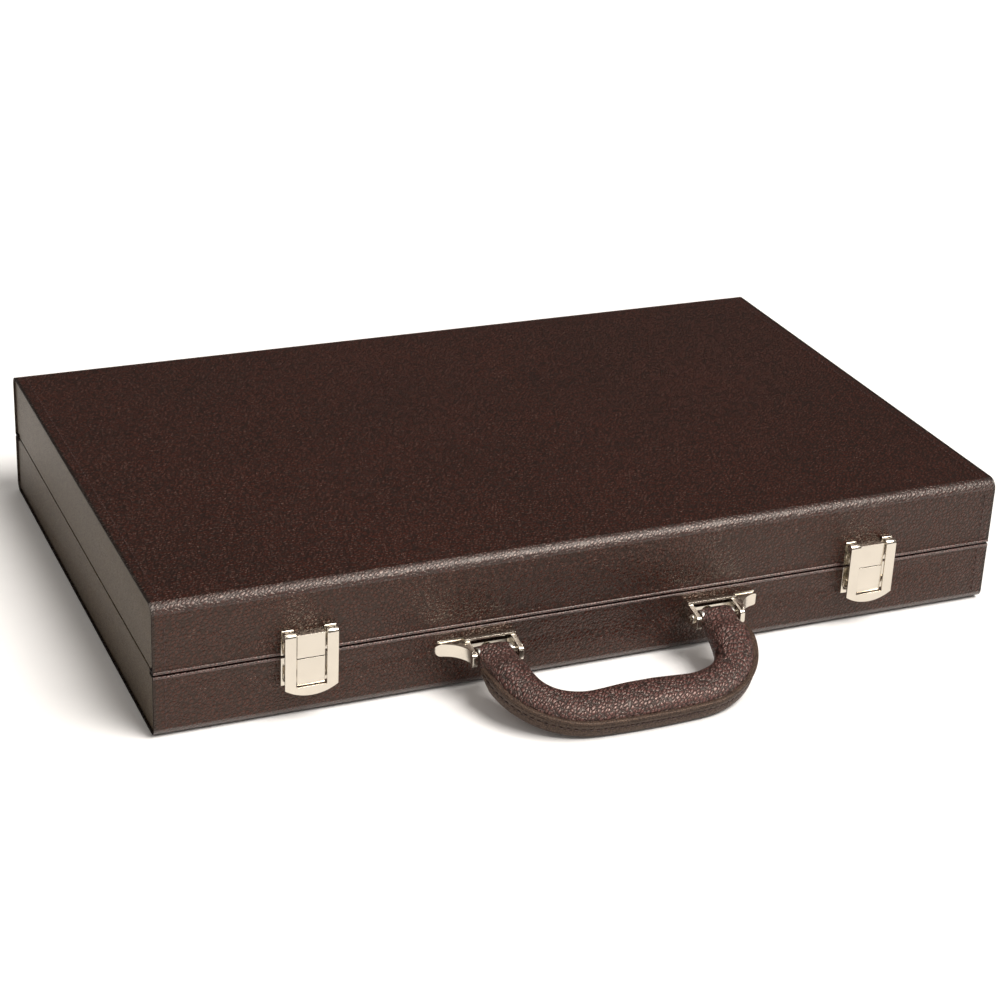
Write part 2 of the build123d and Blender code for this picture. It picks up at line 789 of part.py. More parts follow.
# ================================================================= lid stays
base_pivot = (hinge_y - base_pivot_forward, hinge_z - base_pivot_down)
lid_pivot = (hinge_y - lid_pivot_forward, hinge_z + lid_pivot_up)
elbow = (
    hinge_y - base_pivot_forward - lid_pivot_forward,
    hinge_z - base_pivot_down + lid_pivot_up,
)
for side, name in ((-1, "left"), (1, "right")):
    for arm, pivot, face in (
        ("lower", base_pivot, lower_arm_face),
        ("upper", lid_pivot, upper_arm_face),
    ):
        run = elbow[0] - pivot[0]
        rise = elbow[1] - pivot[1]
        start = side * face
        with BuildPart() as stay_arm:
            with BuildSketch(Plane.YZ.offset(start)):
                with Locations(((elbow[0] + pivot[0]) / 2, (elbow[1] + pivot[1]) / 2)):
                    SlotCenterToCenter(
                        math.hypot(run, rise), 2 * stay_arm_radius,
                        rotation=math.degrees(math.atan2(rise, run)),
                    )
                with Locations(pivot, elbow):
                    Circle(stay_pin_radius + pin_clearance, mode=Mode.SUBTRACT)
            extrude(amount=side * stay_sheet)
        save(stay_arm.part, name + "_stay_" + arm + "_arm")

    with BuildPart() as elbow_rivet:
        bar_x(
            elbow[0], elbow[1], stay_pin_radius,
            side * (lower_arm_face - 0.7), side * (upper_arm_face + stay_sheet + 0.8),
        )
        bar_x(
            elbow[0], elbow[1], 3.2, side * (lower_arm_face - 0.7), side * lower_arm_face,
        )
        bar_x(
            elbow[0], elbow[1], 3.0,
            side * (lower_arm_face + stay_sheet), side * (upper_arm_face - 0.3),
        )
        bar_x(
            elbow[0], elbow[1], 3.0,
            side * (upper_arm_face + stay_sheet + 0.2),
            side * (upper_arm_face + stay_sheet + 0.8),
        )
    save(elbow_rivet.part, name + "_stay_elbow_rivet")

for leaf, pivot, face in (
    ("base", base_pivot, lower_arm_face),
    ("lid", lid_pivot, upper_arm_face),
):
    with BuildPart() as stay_pivots:
        for side in (-1, 1):
            bar_x(
                pivot[0], pivot[1], stay_pin_radius, side * (face - 0.7), side * lining_face,
            )
            bar_x(pivot[0], pivot[1], 3.2, side * (face - 0.9), side * (face - 0.3))
            bar_x(
                pivot[0], pivot[1], 3.2, side * (face + stay_sheet + 0.3), side * lining_face,
            )
            block(
                side * (lining_face - 0.8), side * lining_face,
                pivot[0] - 9.0, pivot[0] + 9.0, pivot[1] - 5.0, pivot[1] + 5.0,
            )
    save(stay_pivots.part, "stay_" + leaf + "_pivots")
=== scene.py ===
import json
import math

import bpy
from bpy.props import FloatProperty, FloatVectorProperty, IntProperty, PointerProperty
from mathutils import Matrix, Vector

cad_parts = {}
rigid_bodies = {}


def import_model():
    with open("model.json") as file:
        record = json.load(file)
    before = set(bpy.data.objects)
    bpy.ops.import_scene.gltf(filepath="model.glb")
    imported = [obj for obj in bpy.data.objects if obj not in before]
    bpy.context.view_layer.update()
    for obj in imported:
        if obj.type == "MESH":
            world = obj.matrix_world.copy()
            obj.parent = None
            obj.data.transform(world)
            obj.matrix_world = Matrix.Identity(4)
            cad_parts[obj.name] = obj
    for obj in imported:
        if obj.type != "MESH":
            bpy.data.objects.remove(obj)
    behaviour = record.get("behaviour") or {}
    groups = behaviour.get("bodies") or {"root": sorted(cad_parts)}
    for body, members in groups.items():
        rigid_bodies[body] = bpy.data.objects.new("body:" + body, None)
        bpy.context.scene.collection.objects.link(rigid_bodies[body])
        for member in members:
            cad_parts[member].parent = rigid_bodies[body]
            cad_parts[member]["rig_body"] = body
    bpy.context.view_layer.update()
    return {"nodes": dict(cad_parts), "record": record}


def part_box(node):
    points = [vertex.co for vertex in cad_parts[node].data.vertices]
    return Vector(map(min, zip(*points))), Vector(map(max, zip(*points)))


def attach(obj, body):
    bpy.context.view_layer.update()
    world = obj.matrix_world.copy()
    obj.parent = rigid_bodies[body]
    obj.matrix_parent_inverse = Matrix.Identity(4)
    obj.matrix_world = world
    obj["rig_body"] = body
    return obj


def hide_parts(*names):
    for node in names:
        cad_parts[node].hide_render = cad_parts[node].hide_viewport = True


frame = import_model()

bl_info = {
    "name": "Poker chip case",
    "version": (1, 0, 0),
    "blender": (4, 5, 0),
    "location": "3D View > Sidebar > Chip case",
    "description": "Leather covered chip case with latches, drop handle and chip insert",
    "category": "Object",
}

RECORD = frame["record"]
SLOT_OF = {row["node"]: row["material_slot"] for row in RECORD["subparts"]}
JOINTS = {joint["name"]: joint for joint in RECORD["behaviour"]["joints"]}
MM = 0.001

CASE_LOW, CASE_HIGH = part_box("lid_wrap")
HALF_WIDTH = CASE_HIGH.x
FRONT = CASE_LOW.y
BACK = CASE_HIGH.y
LID_TOP = CASE_HIGH.z
LID_RIM = CASE_LOW.z
BASE_LOW, BASE_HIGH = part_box("base_wrap")
PIN = Vector(JOINTS["handle_hinge"]["pos_m"])
DROOP = math.radians(17.5)
FORWARD = Vector((0, -math.cos(DROOP), -math.sin(DROOP)))
UPWARD = Vector((0, -math.sin(DROOP), math.cos(DROOP)))

# The cover's cut edge, and how much of the leather beside it is darkened with painted
# shade, standing in for the shade in the groove between the cover's lip and the end panel.
CUT_EDGE = HALF_WIDTH - 0.0006
EDGE_SHADE_FROM = HALF_WIDTH - 0.0012
EDGE_SHADE_FADE = 0.0003
CORNER_CLEAR = 0.0065

# The handle's line: metres in its own plane, measured from the pin.
GRIP_CENTRE = 0.0506
GRIP_BEND = 0.036
LEG_X = 0.0628
ROOT_X = 0.064
NECK = 0.008
LEG_END = 0.0047
LEG_ROOT = 0.018
HALF_GRIP = 0.0114
INNER_GRIP = 0.0108
GRIP_EYE = 0.0103
EYE_RISE = 0.0047
TOP_RISE = 0.0088
UNDER_RISE = 0.0080
BAND_STITCHES = 58

# Leather: the lay of its pebbles, and the tint and gloss of its lacquer.
PEBBLE_TURN = (0.3, 0.25, -0.82)
PEBBLE_STRETCH = (0.8, 1.55, 1.0)
LACQUER_TINT = (1.0, 0.79, 0.67, 1.0)
END_TINT = (1.0, 0.8, 0.54, 1.0)
COAT_ROUGHNESS = 0.42
CASE_ROUGHNESS = 0.255

# Stage: name, direction towards the light, strength and width in degrees.
LIGHTS = (
    ("key", (0.37, -0.43, 0.83), 4.1, 38),
    ("top", (0.16, 0.28, 0.94), 0.4, 22),
    ("fill", (-0.62, -0.5, 0.6), 0.75, 70),
)
LIGHT_COLOUR = (1.0, 0.955, 0.905)
SKY_COLOUR = (1.0, 0.9, 0.82, 1.0)
SKY_STRENGTH = 0.1
CAMERA_TURN = (-23.887, 25.241, 2.673)
CAMERA_TARGET = Vector((0.01102, 0.00680, 0.02266))
CAMERA_DISTANCE = 1.38795


def colour_property(name, text, value):
    """A colour that a user may change."""
    return FloatVectorProperty(
        name=name, description=text, default=value, subtype="COLOR", size=3, min=0, max=1
    )


def length_property(name, text, value):
    """A length that a user may change."""
    return FloatProperty(name=name, description=text, default=value, unit="LENGTH", min=0)


class ChipCaseSettings(bpy.types.PropertyGroup):
    """Sizes and colours of the case's finish."""

    leather_colour: colour_property(
        "Leather", "Colour of the leather", (0.0385, 0.0085, 0.0052)
    )
    # Painted shade: the creases between the pebbles are coloured darker than the pebble
    # tops.
    crease_shade_colour: colour_property(
        "Creases", "Colour between the pebbles", (0.0062, 0.0011, 0.0008)
    )
    end_colour: colour_property(
        "End leather", "Colour of the end panels", (0.055, 0.030, 0.008)
    )
    grip_colour: colour_property(
        "Grip leather", "Colour of the handle", (0.112, 0.047, 0.041)
    )
    thread_colour: colour_property(
        "Thread", "Colour of the sewing thread", (0.03, 0.014, 0.012)
    )
    band_colour: colour_property(
        "Band leather", "Colour of the edge band", (0.078, 0.047, 0.031)
    )
    nickel_colour: colour_property(
        "Nickel", "Colour of the plated fittings", (0.68, 0.625, 0.54)
    )
    steel_colour: colour_property(
        "Steel", "Colour of the plain fittings", (0.56, 0.55, 0.53)
    )
    suede_colour: colour_property("Suede", "Colour of the lining", (0.016, 0.012, 0.012))
    board_colour: colour_property("Board", "Colour of the fibreboard", (0.24, 0.15, 0.08))
    pebble: length_property("Pebble", "Width of a leather pebble", 1.85 * MM)
    grain_depth: length_property("Grain depth", "Depth of the leather grain", 0.36 * MM)
    stitch_length: length_property("Stitch", "Length of one stitch", 2.6 * MM)
    stitch_pitch: length_property("Stitch pitch", "Distance between stitches", 3.9 * MM)
    stitch_inset: length_property(
        "Stitch inset", "Distance of the seam from the end", 6.2 * MM
    )
    grip_swell: length_property(
        "Grip swell", "How far the grip swells in the middle", 2.4 * MM
    )
    band_height: length_property(
        "Band height", "Height of the handle's edge band", 10.0 * MM
    )
    grip_stations: IntProperty(
        name="Grip stations", description="Rings along the grip", default=96, min=16
    )
    camera_lens: FloatProperty(
        name="Lens", description="Focal length of the camera in millimetres",
        default=85.7, min=1, subtype="NONE",
    )


# ------------------------------------------------------------------ selection


def settings():
    """The case's settings in this scene."""
    return bpy.context.scene.chip_case


def select_only(*things):
    """Leave these objects selected and nothing else."""
    if bpy.context.object and bpy.context.object.mode != "OBJECT":
        bpy.ops.object.mode_set(mode="OBJECT")
    bpy.ops.object.select_all(action="DESELECT")
    for thing in things:
        thing.select_set(True)
        bpy.context.view_layer.objects.active = thing


def named(name):
    """Give the active object its name and settle its place into its mesh."""
    thing = bpy.context.object
    thing.name = name
    thing.data.name = name
    bpy.ops.object.transform_apply(location=True, rotation=True, scale=True)
    return thing


def add_modifier(thing, kind, **values):
    """Add a modifier, set it up and apply it."""
    select_only(thing)
    modifier = thing.modifiers.new(kind.title(), kind)
    for key, value in values.items():
        setattr(modifier, key, value)
    bpy.ops.object.modifier_apply(modifier=modifier.name)


def smooth(thing, degrees=35):
    """Shade smooth, keeping the sharp edges."""
    select_only(thing)
    bpy.ops.object.shade_smooth_by_angle(angle=math.radians(degrees))


def settle(thing, body, finish, slot, *nodes):
    """Give a finished piece its material and body, and hide the nodes it stands for. The
    slot is not used.
    """
    thing.data.materials.clear()
    thing.data.materials.append(finish)
    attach(thing, body)
    if nodes:
        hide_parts(*nodes)


# ------------------------------------------------------------------ finishes


def fresh_material(name):
    """An empty material with its shader: (material, node tree, shader)."""
    material = bpy.data.materials.new(name)
    material.use_nodes = True
    tree = material.node_tree
    tree.nodes.clear()
    shader = tree.nodes.new("ShaderNodeBsdfPrincipled")
    output = tree.nodes.new("ShaderNodeOutputMaterial")
    tree.links.new(shader.outputs["BSDF"], output.inputs["Surface"])
    return material, tree, shader


def put(tree, kind, inputs=None, **values):
    """Add a node, set its values, and set or link its inputs."""
    node = tree.nodes.new(kind)
    for key, value in values.items():
        setattr(node, key, value)
    for key, value in (inputs or {}).items():
        if isinstance(value, bpy.types.NodeSocket):
            tree.links.new(value, node.inputs[key])
        else:
            node.inputs[key].default_value = value
    return node


def math_node(tree, operation, first, second=0.0):
    """The result of one sum."""
    node = put(tree, "ShaderNodeMath", {0: first, 1: second}, operation=operation)
    return node.outputs[0]


def map_range(tree, value, low, high, to_low=0.0, to_high=1.0, smoothly=False):
    """A value carried from one range to another."""
    node = put(
        tree,
        "ShaderNodeMapRange",
        {
            "Value": value, "From Min": low, "From Max": high,
            "To Min": to_low, "To Max": to_high,
        },
    )
    if smoothly:
        node.interpolation_type = "SMOOTHSTEP"
    return node.outputs["Result"]


def mix_colour(tree, factor, first, second, blend="MIX"):
    """Two colours mixed."""
    node = tree.nodes.new("ShaderNodeMix")
    node.data_type = "RGBA"
    node.blend_type = blend
    for socket, value in ((0, factor), (6, first), (7, second)):
        if isinstance(value, bpy.types.NodeSocket):
            tree.links.new(value, node.inputs[socket])
        elif socket == 0:
            node.inputs[socket].default_value = value
        else:
            node.inputs[socket].default_value = (*value, 1.0)
    return node.outputs[2]


def placed(tree, turn=(0, 0, 0), stretch=(1, 1, 1)):
    """Object coordinates in a turned frame whose axes are stretched."""
    coordinates = tree.nodes.new("ShaderNodeTexCoord")
    mapping = put(
        tree,
        "ShaderNodeMapping",
        {"Vector": coordinates.outputs["Object"], "Rotation": turn, "Scale": stretch},
        vector_type="TEXTURE",
    )
    return mapping.outputs["Vector"], coordinates.outputs["Object"]


def noise(tree, vector, scale, detail=3.0, roughness=0.55):
    """Soft noise."""
    node = put(
        tree,
        "ShaderNodeTexNoise",
        {"Vector": vector, "Scale": scale, "Detail": detail, "Roughness": roughness},
    )
    return node.outputs["Fac"], node.outputs["Color"]


def bumped(tree, shader, height, distance, strength=1.0, socket="Normal"):
    """Raise the surface by a height in metres."""
    node = put(
        tree,
        "ShaderNodeBump",
        {"Height": height, "Distance": distance, "Strength": strength},
    )
    tree.links.new(node.outputs["Normal"], shader.inputs[socket])


def leather(
    name, colour, crease_shade, pebble, depth, rough, edge_shade_from=0.0, lacquer=0.0, over=0.4,
    tint=LACQUER_TINT,
):
    """Pebbled leather: domed cells, creases coloured darker as painted shade, pores, a band
    of painted shade along the cut edge, and lacquer.

    Over is how much of the grain the lacquer follows.
    """
    material, tree, shader = fresh_material(name)
    vector, plain = placed(tree, PEBBLE_TURN, PEBBLE_STRETCH)
    drift = noise(tree, vector, 0.5 / pebble, 2.0)[1]
    nudge = put(
        tree, "ShaderNodeVectorMath", {0: drift, 1: (0.5, 0.5, 0.5)}, operation="SUBTRACT"
    )
    shift = put(
        tree,
        "ShaderNodeVectorMath",
        {0: nudge.outputs[0], "Scale": 0.9 * pebble},
        operation="SCALE",
    )
    wavy = put(
        tree, "ShaderNodeVectorMath", {0: vector, 1: shift.outputs[0]}, operation="ADD"
    ).outputs[0]
    cell_inputs = {"Vector": wavy, "Scale": 1.0 / pebble, "Randomness": 0.85}
    edges = put(tree, "ShaderNodeTexVoronoi", cell_inputs, feature="DISTANCE_TO_EDGE")
    centres = put(tree, "ShaderNodeTexVoronoi", cell_inputs, feature="F1")
    flat = map_range(tree, edges.outputs["Distance"], 0.0, 0.2, smoothly=True)
    dome = map_range(tree, centres.outputs["Distance"], 0.75, 0.1, smoothly=True)
    folds = noise(tree, wavy, 0.3 / pebble, 2.0)[0]
    pores = noise(tree, plain, 6.0 / pebble, 3.0)[0]
    height = math_node(tree, "MULTIPLY", flat, 0.4)
    for layer, share in ((dome, 0.4), (folds, 0.35), (pores, 0.08)):
        height = math_node(tree, "ADD", height, math_node(tree, "MULTIPLY", layer, share))
    # Painted shade: the low parts of the grain, creases and folds, take the darker crease
    # colour.
    base = mix_colour(tree, map_range(tree, height, 0.3, 1.0), crease_shade, colour)
    blotch = noise(tree, plain, 14.0, 4.0)[0]
    shade = map_range(tree, blotch, 0.3, 0.7, 0.85, 1.14)
    base = mix_colour(tree, 1.0, base, put_grey(tree, shade), "MULTIPLY")
    # Painted shade: a dark band along the cover's cut edge, standing in for the shade in
    # the groove beside the end panel.
    if edge_shade_from:
        axes = put(tree, "ShaderNodeSeparateXYZ", {"Vector": plain})
        side = math_node(tree, "ABSOLUTE", axes.outputs["X"])
        edge_shade_mask = map_range(tree, side, edge_shade_from - EDGE_SHADE_FADE, edge_shade_from, smoothly=True)
        edge_shade_colour = tuple(0.35 * part for part in crease_shade)
        base = mix_colour(tree, math_node(tree, "MULTIPLY", edge_shade_mask, 0.95), base, edge_shade_colour)
    tree.links.new(base, shader.inputs["Base Color"])
    gloss = map_range(tree, height, 0.2, 0.95, rough + 0.16, rough)
    tree.links.new(gloss, shader.inputs["Roughness"])
    shader.inputs["Specular IOR Level"].default_value = 0.58
    shader.inputs["Specular Tint"].default_value = tint
    shader.inputs["Coat Weight"].default_value = lacquer
    shader.inputs["Coat Roughness"].default_value = COAT_ROUGHNESS
    shader.inputs["Coat IOR"].default_value = 1.6
    bumped(tree, shader, height, depth)
    bumped(tree, shader, height, depth, over, "Coat Normal")
    return material


def put_grey(tree, value):
    """A grey of that brightness."""
    node = put(
        tree, "ShaderNodeCombineColor", {"Red": value, "Green": value, "Blue": value}
    )
    return node.outputs["Color"]


def metal(name, colour, rough, brush=(0.033, 0.0025, 0.0025)):
    """Plated metal with a soft polish, faint brushing and finger marks."""
    material, tree, shader = fresh_material(name)
    vector, plain = placed(tree, stretch=brush)
    lines = noise(tree, vector, 6.0, 2.0)[0]
    marks = noise(tree, plain, 90.0, 4.0)[0]
    polish = math_node(
        tree,
        "ADD",
        map_range(tree, marks, 0.35, 0.7, rough, rough + 0.1),
        math_node(tree, "MULTIPLY", lines, 0.05),
    )
    tree.links.new(polish, shader.inputs["Roughness"])
    tint = map_range(tree, marks, 0.3, 0.75, 0.93, 1.03)
    base = mix_colour(tree, 1.0, colour, put_grey(tree, tint), "MULTIPLY")
    tree.links.new(base, shader.inputs["Base Color"])
    shader.inputs["Metallic"].default_value = 1.0
    bumped(tree, shader, lines, 0.00001, 0.5)
    return material


def suede(name, colour, nap):
    """Short napped cloth with a brushed, cloudy surface."""
    material, tree, shader = fresh_material(name)
    vector, plain = placed(tree, turn=(0.2, 0.1, 0.5), stretch=(1.0, 2.0, 1.0))
    fibres = noise(tree, vector, 1.0 / nap, 4.0, 0.7)[0]
    clouds = noise(tree, plain, 22.0, 4.0)[0]
    shade = math_node(
        tree,
        "ADD",
        map_range(tree, clouds, 0.3, 0.7, 0.75, 1.2),
        map_range(tree, fibres, 0.3, 0.7, -0.25, 0.3),
    )
    base = mix_colour(tree, 1.0, colour, put_grey(tree, shade), "MULTIPLY")
    tree.links.new(base, shader.inputs["Base Color"])
    shader.inputs["Roughness"].default_value = 0.92
    shader.inputs["Sheen Weight"].default_value = 0.55
    shader.inputs["Sheen Roughness"].default_value = 0.4
    shader.inputs["Sheen Tint"].default_value = (0.42, 0.32, 0.3, 1.0)
    bumped(tree, shader, fibres, 0.0002)
    return material


def fibreboard(name, colour):
    """Pressed board with pale and dark fibres."""
    material, tree, shader = fresh_material(name)
    vector, plain = placed(tree, stretch=(1.0, 1.0, 0.17))
    flecks = noise(tree, vector, 900.0, 4.0, 0.7)[0]
    pale = tuple(min(1.0, 1.5 * part) for part in colour)
    base = mix_colour(tree, map_range(tree, flecks, 0.35, 0.65), colour, pale)
    tree.links.new(base, shader.inputs["Base Color"])
    shader.inputs["Roughness"].default_value = 0.85
    bumped(tree, shader, flecks, 0.0001)
    return material


def thread(name, colour):
    """Waxed twisted thread."""
    material, tree, shader = fresh_material(name)
    vector, plain = placed(tree, turn=(0.6, 0.7, 0.8))
    twist = put(
        tree, "ShaderNodeTexWave", {"Vector": vector, "Scale": 420.0, "Distortion": 0.6}
    ).outputs["Fac"]
    pale = tuple(min(1.0, 1.9 * part) for part in colour)
    tree.links.new(mix_colour(tree, twist, colour, pale), shader.inputs["Base Color"])
    shader.inputs["Roughness"].default_value = 0.5
    bumped(tree, shader, twist, 0.00008)
    return material


def painted_edge_shade(name, colour):
    """Painted shade: a dull dark colour on the cut edge of the leather, standing in for the
    shade in the groove between the cover's lip and the end panel.
    """
    material, tree, shader = fresh_material(name)
    vector, plain = placed(tree)
    brushed = noise(tree, plain, 700.0, 3.0)[0]
    dark = tuple(0.4 * part for part in colour)
    tree.links.new(mix_colour(tree, brushed, dark, colour), shader.inputs["Base Color"])
    shader.inputs["Roughness"].default_value = 0.8
    shader.inputs["Specular IOR Level"].default_value = 0.12
    bumped(tree, shader, brushed, 0.0001)
    return material


def paper_floor(name):
    """Plain pale studio paper."""
    material, tree, shader = fresh_material(name)
    vector, plain = placed(tree)
    tooth = noise(tree, plain, 60.0, 3.0)[0]
    base = mix_colour(tree, tooth, (0.9, 0.9, 0.9), (0.93, 0.93, 0.93))
    tree.links.new(base, shader.inputs["Base Color"])
    shader.inputs["Roughness"].default_value = 0.9
    shader.inputs["Specular IOR Level"].default_value = 0.1
    return material


FINISHES = {}


def finish(slot):
    """The material of one slot, made the first time it is asked for."""
    if slot not in FINISHES:
        s = settings()
        makers = {
            "case_leather": lambda: leather(
                "case_leather", s.leather_colour, s.crease_shade_colour, s.pebble,
                s.grain_depth, CASE_ROUGHNESS, edge_shade_from=EDGE_SHADE_FROM,
            ),
            "worn_leather": lambda: leather(
                "worn_leather", s.leather_colour, s.crease_shade_colour, s.pebble,
                s.grain_depth, CASE_ROUGHNESS, edge_shade_from=EDGE_SHADE_FROM, lacquer=0.6,
            ),
            "end_leather": lambda: leather(
                "end_leather", s.end_colour, s.crease_shade_colour, 0.5 * s.pebble,
                0.3 * s.grain_depth, 0.42, tint=END_TINT,
            ),
            "handle_leather": lambda: leather(
                "handle_leather", s.grip_colour, s.crease_shade_colour, s.pebble,
                1.6 * s.grain_depth, 0.26, lacquer=0.35, over=0.8,
            ),
            "band_leather": lambda: leather(
                "band_leather", s.band_colour, s.crease_shade_colour, 0.5 * s.pebble,
                0.3 * s.grain_depth, 0.45,
            ),
            # Painted highlight: the rim bead's leather is coloured lighter than the case
            # leather, so the seam reads as a bright line.
            "rim_highlight_leather": lambda: leather(
                "rim_highlight_leather", s.grip_colour, s.crease_shade_colour, 0.8 * s.pebble,
                0.7 * s.grain_depth, 0.26, lacquer=0.8,
            ),
            "painted_edge_shade": lambda: painted_edge_shade("painted_edge_shade", s.crease_shade_colour),
            "lining_suede": lambda: suede("lining_suede", s.suede_colour, 0.0009),
            "insert_suede": lambda: suede("insert_suede", s.suede_colour, 0.0008),
            "pad_velvet": lambda: suede("pad_velvet", s.suede_colour, 0.0011),
            "fibreboard": lambda: fibreboard("fibreboard", s.board_colour),
            "nickel_plate": lambda: metal("nickel_plate", s.nickel_colour, 0.15),
            "zinc_steel": lambda: metal("zinc_steel", s.steel_colour, 0.32),
            "thread": lambda: thread("thread", s.thread_colour),
        }
        FINISHES[slot] = makers[slot]()
    return FINISHES[slot]


def dressed(node, softness, steps=2, angle=28):
    """Replace a node by a copy of it with soft edges and its finish."""
    cad = frame["nodes"][node]
    piece = bpy.data.objects.new(node + "_finished", cad.data.copy())
    bpy.context.scene.collection.objects.link(piece)
    select_only(piece)
    if piece.data.has_custom_normals:
        bpy.ops.mesh.customdata_custom_splitnormals_clear()
    bpy.ops.object.mode_set(mode="EDIT")
    bpy.ops.mesh.select_all(action="SELECT")
    bpy.ops.mesh.remove_doubles(threshold=0.000004)
    bpy.ops.mesh.dissolve_limited(angle_limit=math.radians(0.5))
    bpy.ops.object.mode_set(mode="OBJECT")
    if softness:
        add_modifier(
            piece, "BEVEL", width=softness, segments=steps, limit_method="ANGLE",
            angle_limit=math.radians(angle), use_clamp_overlap=True,
        )
    smooth(piece)
    slot = SLOT_OF[node]
    settle(piece, cad["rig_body"], finish(slot), slot, node)
    return piece


# ------------------------------------------------------------------ shaping


def closed(thing, merge=0.0):
    """Merge doubled points, fill each opening and turn the faces outwards."""
    select_only(thing)
    bpy.ops.object.mode_set(mode="EDIT")
    if merge:
        bpy.ops.mesh.select_all(action="SELECT")
        bpy.ops.mesh.remove_doubles(threshold=merge)
    bpy.ops.mesh.select_all(action="DESELECT")
    bpy.ops.mesh.select_non_manifold(
        extend=False, use_wire=False, use_boundary=True, use_multi_face=False,
        use_non_contiguous=False, use_verts=False,
    )
    bpy.ops.mesh.edge_face_add()
    bpy.ops.mesh.select_all(action="SELECT")
    bpy.ops.mesh.normals_make_consistent(inside=False)
    bpy.ops.object.mode_set(mode="OBJECT")


def skin_of_rings(name, stations, ring, place):
    """A tube shaped from a grid: place(u, v) gives each point, and v goes round."""
    bpy.ops.object.select_all(action="DESELECT")
    bpy.ops.mesh.primitive_grid_add(
        x_subdivisions=stations, y_subdivisions=ring, size=1, location=(0, 0, 0)
    )
    tube = named(name)
    for point in tube.data.vertices:
        point.co = place(point.co.x + 0.5, point.co.y + 0.5)
    tube.data.update()
    closed(tube, merge=0.000002)
    return tube


def one_stitch(name, place, along, thick, length):
    """A single stitch lying in one direction."""
    bpy.ops.object.select_all(action="DESELECT")
    bpy.ops.mesh.primitive_uv_sphere_add(
        segments=8, ring_count=5, radius=0.5, location=place,
        rotation=along.to_track_quat("Z", "Y").to_euler(), scale=(thick, thick, length),
    )
    return named(name)


def stitch_row(name, start, end):
    """A straight row of stitches from one point to another."""
    s = settings()
    run = end - start
    count = max(1, int(run.length / s.stitch_pitch))
    along = run.normalized()
    middle = start + along * s.stitch_length / 2
    stitch = one_stitch(name, middle, along, 0.00075, s.stitch_length)
    add_modifier(
        stitch, "ARRAY", count=count, use_relative_offset=False, use_constant_offset=True,
        constant_offset_displace=along * (run.length / count),
    )
    return stitch


def joined(name, parts):
    """Several meshes made one."""
    select_only(*parts)
    bpy.ops.object.join()
    whole = bpy.context.object
    whole.name = name
    whole.data.name = name
    return whole


def grip_path(u):
    """Centre line of the handle in its own plane: (x, s, dx, ds) at u from 0 to 1."""
    straight = GRIP_CENTRE - GRIP_BEND + LEG_END
    corner = math.pi / 2 * GRIP_BEND
    front = 2 * (LEG_X - GRIP_BEND)
    total = 2 * (straight + corner) + front
    walked = u * total
    mirrored = walked > total / 2
    if mirrored:
        walked = total - walked
    if walked < straight:
        x, s, dx, ds = -LEG_X, walked - LEG_END, 0.0, 1.0
    elif walked < straight + corner:
        turn = (walked - straight) / GRIP_BEND
        x = -LEG_X + GRIP_BEND * (1 - math.cos(turn))
        s = straight - LEG_END + GRIP_BEND * math.sin(turn)
        dx, ds = math.sin(turn), math.cos(turn)
    else:
        x = -LEG_X + GRIP_BEND + walked - straight - corner
        s, dx, ds = GRIP_CENTRE, 1.0, 0.0
    if mirrored:
        x, ds = -x, -ds
    return x, s, dx, ds


def handle_point(x, s, t):
    """A point of the handle: across, forward of the pin and above its plane."""
    return Vector((x, PIN.y, PIN.z)) + FORWARD * s + UPWARD * t


def eased(value, low, high):
    """A smooth step from 0 to 1."""
    part = min(1.0, max(0.0, (value - low) / (high - low)))
    return part * part * (3 - 2 * part)


def crown(x):
    """How far the front of the handle bows out at x."""
    return 0.0010 * (1 - min(1.0, abs(x) / 0.030) ** 2)


def front_share(x, forward):
    """1 in the middle of the grip's front and 0 at its corners and legs."""
    if forward < GRIP_CENTRE - 0.002:
        return 0.0
    return eased(0.034 - abs(x), 0.0, 0.030)


def root_drift(x, forward):
    """How far a leg leans out to meet the middle of its bracket."""
    return math.copysign((ROOT_X - LEG_X) * (1 - eased(forward, 0.0, LEG_ROOT)), x)


def beside_path(path, offset, lift):
    """A point of the handle, offset outwards from its centre line and lifted."""
    x, forward, dx, ds = path
    across = x + root_drift(x, forward) - ds * offset
    ahead = forward + dx * offset + crown(x) * eased(forward, 0.040, GRIP_CENTRE)
    return handle_point(across, ahead, lift)


# ------------------------------------------------------------------ operators


